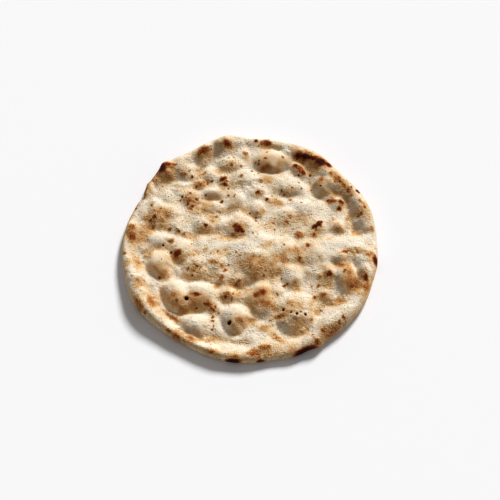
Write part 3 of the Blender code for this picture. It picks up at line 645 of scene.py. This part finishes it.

# Broad areas of light browning, rough at their edges; many of them are painted shade, darkening creases,
# hollows and slopes that face away from the sun.
BROWNING_AND_SHADE_AREAS = rows_of(Mark, (
    (20, 129, 17, 4, -3, 0.19), (-27, 126, 9, 7, 0, 0.22), (-52, 117, 9, 6, 20, 0.22),
    (70, 114, 12, 4, -24, 0.46), (26, 107, 18, 9, 0, 0.15), (-22, 102, 9, 8, 0, 0.22),
    (69, 101, 13, 9, -25, 0.56), (24, 97, 15, 4, 0, 0.34), (-58, 94, 4, 9, 10, 0.30),
    (66, 94, 7, 6, 0, 0.72), (-98, 92, 10, 7, 40, 0.42), (-34, 92, 6, 6, 0, 0.24), (-76, 91, 6, 6, 0, 0.12),
    (20, 83, 7, 5, 0, 0.30), (-30, 79, 8, 9, 0, 0.40), (80, 79, 6, 6, 0, 0.42), (104, 76, 20, 6, -52, 0.44),
    (-56, 75, 8, 6, 0, 0.36), (84, 67, 16, 9, 0, 0.27), (-72, 66, 9, 4, 0, 0.24), (45, 65, 13, 5, 5, 0.20),
    (98, 64, 18, 6, -52, 0.55), (-68, 56, 9, 10, 0, 0.30), (98, 56, 7, 5, 0, 0.60),
    (29, 51, 12, 5, -30, 0.30), (-52, 47, 11, 8, 0, 0.40), (127, 44, 5, 20, 12, 0.20),
    (10, 42, 9, 5, 0, 0.32), (-5, 40, 22, 6, 0, 0.20), (123, 37, 5, 7, 0, 0.30), (48, 33, 16, 9, 0, 0.22),
    (-103, 31, 15, 12, 0, 0.44), (-43, 31, 9, 7, 0, 0.26), (61, 27, 9, 5, 20, 0.32),
    (92, 27, 7, 5, 0, 0.30), (110, 27, 4, 9, 0, 0.34), (20, 20, 14, 7, 0, 0.14), (96, 18, 7, 6, 0, 0.24),
    (-111, 16, 7, 7, 0, 0.52), (-15, 16, 8, 7, 0, 0.30), (-50, 15, 18, 5, 0, 0.12),
    (-129, 14, 6, 11, -5, 0.54), (43, 14, 8, 4, 0, 0.24), (117, 12, 6, 6, 0, 0.36),
    (-120, 9, 9, 13, 0, 0.38), (-65, 7, 9, 4, 0, 0.22), (-18, 6, 16, 5, 0, 0.40), (84, 6, 9, 4, 0, 0.26),
    (20, -2, 14, 5, 20, 0.16), (-93, -9, 8, 4, 0, 0.32), (112, -9, 12, 3.6, 0, 0.54),
    (-28, -10, 5, 8, 0, 0.26), (52, -10, 13, 6, 0, 0.32), (-111, -12, 5, 6, 0, 0.34),
    (-32, -14, 10, 5, 0, 0.28), (127, -14, 7, 4, -35, 0.40), (-62, -15, 9, 5, 0, 0.28),
    (30, -20, 13, 7, 0, 0.40), (-132, -22, 4, 7, 0, 0.34), (-122, -24, 5, 11, 20, 0.42),
    (-40, -26, 11, 6, -20, 0.30), (-97, -27, 5, 4, 0, 0.14), (97, -27, 7, 6, 0, 0.36),
    (102, -27, 6, 5, 0, 0.58), (85, -29, 9, 4, 0, 0.36), (2, -30, 13, 15, 0, 0.30),
    (14, -30, 30, 15, 0, 0.28), (-59, -32, 12, 10, 10, 0.34), (-89, -38, 7, 5, 0, 0.26),
    (-10, -38, 9, 6, 0, 0.26), (107, -43, 8, 13, 0, 0.38), (-40, -44, 8, 5, 0, 0.30),
    (-12, -47, 12, 6, 0, 0.24), (-117, -50, 8, 6, -20, 0.40), (46, -50, 4, 3, 0, 0.30),
    (84, -51, 8, 5, 0, 0.30), (124, -52, 5, 16, -15, 0.34), (112, -53, 7, 10, 0, 0.64),
    (-33, -54, 8, 5, 0, 0.42), (-20, -54, 13, 6, 0, 0.34), (52, -57, 5, 4, 0, 0.30),
    (-4, -58, 6, 4, 0, 0.34), (-14, -62, 7, 5, 0, 0.34), (-79, -66, 13, 9, -20, 0.28),
    (-58, -68, 13, 5, 0, 0.28), (16, -72, 14, 8, 0, 0.36), (94, -72, 9, 5, 10, 0.54),
    (42, -77, 13, 9, 0, 0.38), (25, -78, 8, 6, 0, 0.34), (-68, -79, 9, 7, 0, 0.24),
    (68, -80, 6, 11, 0, 0.38), (-82, -90, 13, 3, -40, 0.42), (0, -95, 7, 5, 0, 0.34),
    (48, -98, 19, 11, 0, 0.18), (16, -101, 8, 5, 0, 0.34), (89, -101, 19, 5, 38, 0.42),
    (58, -106, 7, 4, 0, 0.30), (-70, -109, 12, 5, -24, 0.66), (28, -113, 10, 4, -38, 0.32),
    (-44, -115, 11, 4, 0, 0.38), (44, -124, 5, 4, 0, 0.36), (11, -129, 16, 4.0, 0, 0.54),
))

# Patches kept pale, partly by flour and partly as painted light on slopes and crests that face the sun: how
# much of the browning is missing.
PALE_AND_LIT_PATCHES = rows_of(Mark, (
    (-38, 134, 7, 4, 0, 0.9), (-3, 130, 10, 6, 0, 0.9), (-12, 127, 9, 4, 0, 0.6), (-38, 125, 7, 5, 0, 0.7),
    (45, 118, 7, 4, -10, 0.6), (-66, 107, 7, 6, 20, 0.85), (47, 106, 6, 9, 0, 0.8), (3, 103, 9, 8, 0, 0.8),
    (45, 94, 11, 6, 0, 0.9), (83, 88, 5, 4, 0, 0.8), (-76, 86, 9, 7, 0, 0.8), (58, 86, 10, 5, -20, 0.7),
    (-39, 80, 7, 8, 0, 0.85), (93, 71, 5, 5, 0, 0.8), (-97, 68, 8, 6, 0, 0.6), (46, 66, 16, 5, 0, 0.6),
    (74, 63, 6, 6, 0, 0.8), (2, 61, 8, 6, 0, 0.7), (-82, 56, 12, 8, -30, 0.8), (14, 54, 9, 5, 0, 0.6),
    (-117, 48, 6, 9, 10, 0.8), (58, 42, 12, 7, 0, 0.6), (92, 42, 6, 5, 0, 0.7), (41, 31, 6, 5, 0, 0.6),
    (120, 25, 8, 8, 0, 0.8), (-85, 20, 5, 5, 0, 0.7), (-31, 20, 7, 4, 0, 0.8), (68, 17, 6, 4, 0, 0.6),
    (4, 14, 11, 8, 0, 0.85), (-98, 2, 7, 6, 0, 0.7), (104, -1, 14, 5, 0, 0.8), (-73, -6, 8, 5, 0, 0.7),
    (92, -20, 6, 5, 0, 0.8), (118, -20, 6, 6, 0, 0.8), (-42, -29, 6, 5, 0, 0.7), (-103, -30, 7, 13, 0, 0.5),
    (44, -40, 12, 9, 0, 0.95), (128, -42, 4, 7, 0, 0.6), (66, -47, 8, 4, 0, 0.5), (98, -58, 5, 5, 0, 0.8),
    (-86, -78, 10, 4, -35, 0.6), (99, -85, 15, 5, 38, 1.0), (15, -86, 8, 6, 0, 0.8),
    (-22, -87, 9, 7, 0, 0.9), (-98, -92, 14, 4, -42, 0.6), (-64, -98, 10, 4, 0, 0.6),
    (-25, -98, 5, 8, 0, 0.8), (35, -102, 8, 5, -30, 0.9), (86, -106, 7, 4, 38, 0.2),
    (10, -118, 14, 4, 0, 0.8),
))

# Char under the edge where it lifts from the stone, placed straight on the plan.
EDGE_CHARS = rows_of(Mark, (
    (58.5, -130, 13.5, 5.6, 22, 1.3), (-19, -138.5, 9, 2, 0, 0.95), (12, -138.5, 5, 1.8, 0, 0.95),
    (-75, -118, 6, 2, -28, 0.95),
))

# How brown the flank is, every 15 degrees.
FLANK_BAKE = (
    0.08, 0.14, 0.24, 0.28, 0.26, 0.16, 0.06, 0.08, 0.14, 0.36, 0.40, 0.28,
    0.26, 0.12, 0.12, 0.14, 0.12, 0.11, 0.12, 0.12, 0.14, 0.12, 0.14, 0.26,
)
FLANK_REACH = 6.0
FLANK_GAIN = 1.3          # above 1, so that the flank is fully baked before its very edge
FLANK_RAGGEDNESS = 0.5    # share of the areas' raggedness
PAINTED_SIDE_SHADE = 0.17          # painted shade: browning of slopes that face the near side, away from the sun
SIDE_SLOPE = 0.60         # slope at which it is full
PAINTED_SHADE_LOSS = 0.6          # share of it that the flank and well-baked crust go without
WELL_BAKED = 0.4

# Where small dark specks are thick, straight on the plan: the last number is the share of specks.
SPECK_AREAS = rows_of(Mark, (
    (-25, 104, 18, 10, 0, 0.5), (-10, 76, 24, 12, 0, 0.8), (104, 74, 20, 8, -55, 1.0),
    (30, 62, 24, 10, 0, 0.7), (-70, 56, 16, 12, 0, 0.8), (-40, 40, 20, 12, 0, 0.7),
    (-95, 30, 20, 16, 0, 0.6), (50, 30, 18, 10, 0, 0.5), (20, 18, 22, 12, 0, 0.6), (-8, -12, 20, 7, 0, 1.0),
    (114, -12, 14, 7, 0, 1.0), (-35, -22, 16, 12, 0, 0.7), (-55, -32, 18, 12, 0, 0.9),
    (40, -60, 20, 10, 0, 0.5), (-110, -70, 8, 18, 30, 0.5), (45, -85, 20, 8, 0, 0.7),
    (90, -98, 24, 10, 38, 1.0), (12, -124, 16, 8, 0, 0.8),
))

HALO_REACH = 2.1
HALO_SHARE = 0.38
AREA_SHARE = 0.75
CORE_SHARE = 1.04
SPOT_SIZE = 0.88
SPOT_SHARE = 1.35
MARK_DRIFT_X = (Swell(5, 0.7, 20), Swell(2.2, 0.7, 21))
MARK_DRIFT_Y = (Swell(5, 0.7, 22), Swell(2.2, 0.7, 23))
AREA_SWELLS = (Swell(12, 0.5, 24), Swell(5, 0.5, 25))
AREA_SHARPNESS = 3.0      # how suddenly each kind of mark ends
HALO_SHARPNESS = 2.0
CORE_SHARPNESS = 3.5
CHAR_SHARPNESS = 4.0
CHAR_HEIGHT = 12          # char under the edge ends below this
HOLE_SHADE_DEPTH = 1.5     # painted shade: a pinhole is painted fully dark from here down
SLIDE_ROUNDS = 4          # steps in finding where the line of sight meets the crust
HALF = math.log(2)


def on_crust(mark):
    """Slide a mark along the line of sight from its level plane down or up onto the crust."""
    slope = 1 / math.tan(VIEW_ELEVATION)
    y = float(mark.y)
    for _ in range(SLIDE_ROUNDS):
        height = float(form_height(np.array([float(mark.x)]), np.array([y]))[0])
        y = mark.y - slope * (height - MARK_LEVEL)
    return mark._replace(y=y)


def mark_value(x, y, mark, sharpness):
    """Return a mark's strength over the plan: half of its full value on its oval."""
    away = oval_distance(x, y, mark)
    return mark.bake * np.exp(-HALF * away ** sharpness)


def strongest(x, y, marks, sharpness):
    """Return the strongest of some marks at every point."""
    value = np.zeros_like(x)
    for mark in marks:
        value = np.maximum(value, mark_value(x, y, mark, sharpness))
    return value


def drifted(x, y):
    """Move points of the plan about a little, which gives marks ragged outlines."""
    return x + swell_height(MARK_DRIFT_X, x, y), y + swell_height(MARK_DRIFT_Y, x, y)


def bake_and_shade_over(x, y):
    """Return how far the crust is baked, with painted shade: areas, partly painted shade, and halos less the
    flour on them, then cores and spots.
    """
    place = drifted(x, y)
    ragged = 1 + swell_height(AREA_SWELLS, x, y)
    cores = [on_crust(scorch) for scorch in SCORCH_AND_SHADOW_MARKS]
    halos = [core._replace(length=core.length * HALO_REACH, width=core.width * HALO_REACH,
                           bake=core.bake * HALO_SHARE) for core in cores]
    rounds = [Mark(spot.x, spot.y, SPOT_SIZE * spot.radius, SPOT_SIZE * spot.radius, 0, spot.bake)
              for spot in SPOT_AND_SHADE_MARKS]
    bake = np.maximum(AREA_SHARE * ragged * strongest(*place, map(on_crust, BROWNING_AND_SHADE_AREAS), AREA_SHARPNESS),
                      ragged * strongest(*place, halos, HALO_SHARPNESS))
    bake = bake * (1 - pale_and_lit_over(x, y))
    bake = np.maximum(bake, CORE_SHARE * strongest(*place, cores, CORE_SHARPNESS))
    return np.maximum(bake, SPOT_SHARE * strongest(*place, map(on_crust, rounds), CORE_SHARPNESS))


def pale_and_lit_over(x, y):
    """Return how much of the browning is kept off the crust over the plan, partly by flour and partly as
    painted light.
    """
    return strongest(*drifted(x, y), map(on_crust, PALE_AND_LIT_PATCHES), AREA_SHARPNESS)


def flank_bake(x, y, z, flank, ragged):
    """Return how far the flank is baked, with the char under the edge."""
    bake = round_value(FLANK_BAKE, np.arctan2(y, x)) * flank * ragged
    return np.maximum(bake, strongest(x, y, EDGE_CHARS, CHAR_SHARPNESS) * (z < CHAR_HEIGHT))


# ---------------------------------------------------------------- mesh
def hexagon_to_round(x, y):
    """Map points of a hexagon of unit size, corner on +X, to plan points inside the outline."""
    angle = np.arctan2(y, x) % math.tau
    side = np.floor(angle / (math.tau / 6))
    middle = (side + 0.5) * math.tau / 6
    apothem = math.cos(math.tau / 12)
    ring = (x * np.cos(middle) + y * np.sin(middle)) / apothem
    along = (y * np.cos(middle) - x * np.sin(middle)) / np.maximum(ring, 1e-9)
    angle = (side + 0.5 + np.clip(along, -0.5, 0.5)) * math.tau / 6
    reach = np.sin(ring * RING_CROWDING) / math.sin(RING_CROWDING) * outline_reach(angle)
    return reach * np.cos(angle), reach * np.sin(angle)


def build_sheet():
    """Make the top as a sheet of even triangles, and round its edge under to a flat underside."""
    bm = bmesh.new()
    corner_to_x = Matrix.Rotation(math.tau / 12, 4, "Z")
    bmesh.ops.create_circle(bm, cap_ends=True, cap_tris=True, segments=6, radius=1.0, matrix=corner_to_x)
    bmesh.ops.subdivide_edges(bm, edges=bm.edges, cuts=RING_COUNT - 1, use_grid_fill=True)
    kinds = [(0.0, 0.0)] * len(bm.verts)       # how far round the edge, and how far in under the base
    edges = [edge for edge in bm.edges if edge.is_boundary]
    for loop in range(1, UNDERCUT_LOOPS + UNDERSIDE_LOOPS + 1):
        made = bmesh.ops.extrude_edge_only(bm, edges=edges)["geom"]
        edges = [item for item in made if isinstance(item, bmesh.types.BMEdge) and item.is_boundary]
        fresh = [item for item in made if isinstance(item, bmesh.types.BMVert)]
        turned = min(loop / UNDERCUT_LOOPS, 1)
        inward = max(loop - UNDERCUT_LOOPS, 0) / (UNDERSIDE_LOOPS + 0.5)
        kinds.extend([(turned, inward)] * len(fresh))
    bmesh.ops.contextual_create(bm, geom=edges)
    bmesh.ops.triangulate(bm, faces=bm.faces)
    bm.normal_update()
    bm.verts.index_update()
    return bm, np.array(kinds)


def place_points(bm, kinds):
    """Return every point's place in plan and its height."""
    flat = np.array([vert.co[:2] for vert in bm.verts])
    x, y = hexagon_to_round(flat[:, 0], flat[:, 1])
    angle = np.arctan2(y, x)
    inset = edge_inset(x, y)
    z = level_off(even_out(bm, form_height(x, y), inset, taut_skin(x, y)) + skin_height(x, y))
    quarter = kinds[:, 0] * math.tau / 4
    below = kinds[:, 0] > 0
    undercut = UNDERCUT_SHARE * round_value(RIM_WIDTH, angle) * (1 - np.cos(quarter))
    reach = (outline_reach(angle) - undercut) * (1 - kinds[:, 1])
    z = np.where(below, edge_height(angle) * (1 - np.sin(quarter)), z)
    x = np.where(below, reach * np.cos(angle), x)
    y = np.where(below, reach * np.sin(angle), y)
    return x, y, z


def add_value(mesh, name, values):
    """Store one number per point on the mesh, for the material to read."""
    layer = mesh.attributes.new(name, "FLOAT", "POINT")
    layer.data.foreach_set("value", np.asarray(values, np.float32))


def make_base():
    """Make the pizza base's fine mesh with its browning."""
    bm, kinds = build_sheet()
    x, y, z = place_points(bm, kinds)
    bmesh.ops.recalc_face_normals(bm, faces=bm.faces)
    mesh = bpy.data.meshes.new("pizza_base_crust")
    bm.to_mesh(mesh)
    bm.free()
    mesh.vertices.foreach_set("co", np.column_stack((x, y, z)).ravel() * MILLIMETRE)
    mesh.update()
    mesh.shade_smooth()

    on_top = kinds[:, 0] == 0
    flank = np.clip(FLANK_GAIN * (1 - edge_inset(x, y) / FLANK_REACH), 0, 1)
    ragged = 1 + FLANK_RAGGEDNESS * swell_height(AREA_SWELLS, x, y)
    bake = np.maximum(bake_and_shade_over(x, y), flank_bake(x, y, z, flank, ragged))
    # Painted shade: slopes that face the near side, away from the sun, are browned to stand in for their
    # shade.
    normals = np.empty(3 * len(mesh.vertices))
    mesh.vertex_normals.foreach_get("vector", normals)
    faces_away_from_sun = np.clip(-normals.reshape(-1, 3)[:, 1] / SIDE_SLOPE, 0, 1)
    painted_shade = PAINTED_SIDE_SHADE * ragged * faces_away_from_sun * on_top * (1 - PAINTED_SHADE_LOSS * np.clip(bake / WELL_BAKED, 0, 1))
    painted_shade = painted_shade * (1 - pale_and_lit_over(x, y)) * (1 - PAINTED_SHADE_LOSS * flank)
    # The bake values hold real browning and also painted shade from the areas, one scorch and one spot.
    add_value(mesh, "bake", bake)
    add_value(mesh, "painted_shade", painted_shade)
    add_value(mesh, "taut", taut_skin(x, y))
    # Painted shade: the pinholes are darkened by their depth, standing in for the shade inside them.
    add_value(mesh, "hole", np.clip(pinhole_depth(x, y) / HOLE_SHADE_DEPTH, 0, 1) * on_top)
    add_value(mesh, "specks", strongest(x, y, SPECK_AREAS, AREA_SHARPNESS))
    add_value(mesh, "under", kinds[:, 1] > 0)

    base = bpy.data.objects.new("pizza_base_crust", mesh)
    bpy.context.scene.collection.objects.link(base)
    return base


# ---------------------------------------------------------------- material
def crust_material():
    """Make the crust: floury dough with browning and painted shade from the mesh's values, with specks and a
    fine, dry grain.
    """
    material = bpy.data.materials.new("crust")
    material.use_nodes = True
    tree = material.node_tree
    nodes = tree.nodes
    shader = nodes["Principled BSDF"]
    shader.inputs["Roughness"].default_value = ROUGHNESS
    shader.inputs["Specular IOR Level"].default_value = SPECULAR
    shader.inputs["Subsurface Weight"].default_value = GLOW_SHARE
    shader.inputs["Subsurface Radius"].default_value = GLOW_COLOUR
    shader.inputs["Subsurface Scale"].default_value = GLOW_REACH
    place = nodes.new("ShaderNodeTexCoord").outputs["Object"]

    def link(source, target):
        tree.links.new(source, target)

    def value(name):
        node = nodes.new("ShaderNodeAttribute")
        node.attribute_name = name
        return node.outputs["Fac"]

    def noise(size, detail, rough):
        node = nodes.new("ShaderNodeTexNoise")
        node.inputs["Scale"].default_value = 1 / (size * MILLIMETRE)
        node.inputs["Detail"].default_value = detail
        node.inputs["Roughness"].default_value = rough
        link(place, node.inputs["Vector"])
        return node.outputs["Fac"]

    def calculate(operation, first, second, clamp=False):
        node = nodes.new("ShaderNodeMath")
        node.operation = operation
        node.use_clamp = clamp
        for socket, source in zip(node.inputs, (first, second)):
            if isinstance(source, (int, float)):
                socket.default_value = source
            else:
                link(source, socket)
        return node.outputs[0]

    def times(first, second):
        return calculate("MULTIPLY", first, second)

    def remap(source, low, high, to_low=0.0, to_high=1.0):
        node = nodes.new("ShaderNodeMapRange")
        node.inputs["From Min"].default_value = low
        node.inputs["From Max"].default_value = high
        node.inputs["To Min"].default_value = to_low
        node.inputs["To Max"].default_value = to_high
        link(source, node.inputs["Value"])
        return node.outputs["Result"]

    def pattern(kind, to_low=0.0, to_high=1.0):
        return remap(noise(kind.size, kind.detail, kind.rough), kind.low, kind.high, to_low, to_high)

    # Browning and painted shade: the mesh's bake values and its painted shade, broken up by a coarse grain
    # and a fine one.
    bake = value("bake")
    taut = value("taut")
    loose = remap(taut, 0.0, 1.0, 1.0, TAUT_GRAIN)
    fine_share = times(remap(bake, *FINE_RANGE, *FINE_BAKES), loose)
    browning_and_shade = bake
    for addition in (value("painted_shade"),
                     pattern(TAN_CLOUDS, *CLOUD_BAKES),
                     times(value("under"), pattern(UNDERSIDE_MOTTLE, *MOTTLE_BAKES)),
                     times(taut, TAUT_BAKE),
                     times(pattern(COARSE_GRAIN, -1.0, 1.0), COARSE_BAKE),
                     times(pattern(FINE_GRAIN, -1.0, 1.0), fine_share)):
        browning_and_shade = calculate("ADD", browning_and_shade, addition)

    # Specks: small dark dots of uneven size, coarser ones and finer ones.
    thick = value("specks")
    for layer in SPECK_LAYERS:
        cells = nodes.new("ShaderNodeTexVoronoi")
        cells.inputs["Scale"].default_value = 1 / (layer.cell * MILLIMETRE)
        link(place, cells.inputs["Vector"])
        pick = nodes.new("ShaderNodeSeparateColor")
        link(cells.outputs["Color"], pick.inputs["Color"])
        share = times(remap(thick, 0.0, 1.0, layer.fewest, layer.most), loose)
        chosen = calculate("LESS_THAN", pick.outputs["Red"], share)
        radius = remap(pick.outputs["Green"], 0.0, 1.0, *SPECK_RADII)
        dot = remap(calculate("SUBTRACT", radius, cells.outputs["Distance"]), 0.0, SPECK_EDGE)
        depth = remap(pick.outputs["Blue"], 0.0, 1.0, layer.palest, layer.darkest)
        speck = calculate("ADD", times(times(dot, chosen), depth), times(browning_and_shade, SPECK_UNDERTONE))
        browning_and_shade = calculate("MAXIMUM", browning_and_shade, speck)
    # Painted shade: the pinholes darken towards black.
    browning_and_shade = calculate("MAXIMUM", browning_and_shade, times(value("hole"), HOLE_SHADE_BAKE), clamp=True)

    ramp = nodes.new("ShaderNodeValToRGB")
    elements = ramp.color_ramp.elements
    while len(elements) < len(CRUST_COLOURS):
        elements.new(0.5)
    for element, (position, colour) in zip(elements, CRUST_COLOURS):
        element.position = position
        element.color = (*colour, 1.0)
    link(browning_and_shade, ramp.inputs["Fac"])

    # Flour: pale dust in drifts, kept off the dark marks and off taut skin.
    bare = times(remap(browning_and_shade, *FLOUR_BAKES, FLOUR_MOST, 0.0), loose)
    dusted = nodes.new("ShaderNodeMix")
    dusted.data_type = "RGBA"
    share, crust, flour = (dusted.inputs[index] for index in MIX_SOCKETS)
    link(times(pattern(FLOUR_DUST), bare), share)
    link(ramp.outputs["Color"], crust)
    flour.default_value = FLOUR_COLOUR
    link(dusted.outputs[MIX_RESULT], shader.inputs["Base Color"])

    # Grit: dry crumbly skin, rougher in some places than in others.
    bump = nodes.new("ShaderNodeBump")
    bump.inputs["Distance"].default_value = GRIT_DEPTH
    fine_grit = times(noise(FINE_GRIT_SIZE, 0.0, GRIT_ROUGH), FINE_GRIT_SHARE)
    link(calculate("ADD", noise(GRIT_SIZE, GRIT_DETAIL, GRIT_ROUGH), fine_grit), bump.inputs["Height"])
    link(times(pattern(LOOSE_SKIN, *GRIT_STRENGTHS), loose), bump.inputs["Strength"])
    link(bump.outputs["Normal"], shader.inputs["Normal"])
    return material


# ---------------------------------------------------------------- studio
def make_studio():
    """Make the camera, the sun, the sky and the pale floor."""
    scene = bpy.context.scene
    back = Vector((0.0, -math.cos(VIEW_ELEVATION), math.sin(VIEW_ELEVATION)))
    camera = bpy.data.objects.new("camera", bpy.data.cameras.new("camera"))
    camera.data.lens = LENS
    camera.data.sensor_width = SENSOR
    camera.location = VIEW_TARGET + VIEW_DISTANCE * back
    camera.rotation_euler = (math.pi / 2 - VIEW_ELEVATION, 0.0, 0.0)
    scene.collection.objects.link(camera)
    scene.camera = camera

    sun = bpy.data.objects.new("sun", bpy.data.lights.new("sun", "SUN"))
    sun.data.energy = SUN_STRENGTH
    sun.data.angle = SUN_ANGLE
    sun.data.color = SUN_COLOUR
    towards = Vector((math.cos(SUN_AZIMUTH) * math.cos(SUN_ELEVATION),
                      math.sin(SUN_AZIMUTH) * math.cos(SUN_ELEVATION),
                      math.sin(SUN_ELEVATION)))
    sun.rotation_euler = towards.to_track_quat("Z", "Y").to_euler()
    scene.collection.objects.link(sun)

    world = bpy.data.worlds.new("sky")
    world.use_nodes = True
    sky = world.node_tree.nodes["Background"]
    sky.inputs["Color"].default_value = SKY_COLOUR
    sky.inputs["Strength"].default_value = SKY_STRENGTH
    scene.world = world
    scene.view_settings.view_transform = "Standard"
    scene.view_settings.look = "Medium High Contrast"

    bpy.ops.mesh.primitive_plane_add(size=FLOOR_SIZE)
    floor = bpy.context.object
    floor.name = "floor"
    paint = bpy.data.materials.new("floor")
    paint.use_nodes = True
    shader = paint.node_tree.nodes["Principled BSDF"]
    shader.inputs["Base Color"].default_value = FLOOR_COLOUR
    shader.inputs["Roughness"].default_value = FLOOR_ROUGHNESS
    floor.data.materials.append(paint)


make_studio()
base = make_base()
base.data.materials.append(crust_material())
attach(base, "root")
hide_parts("pizza_base")
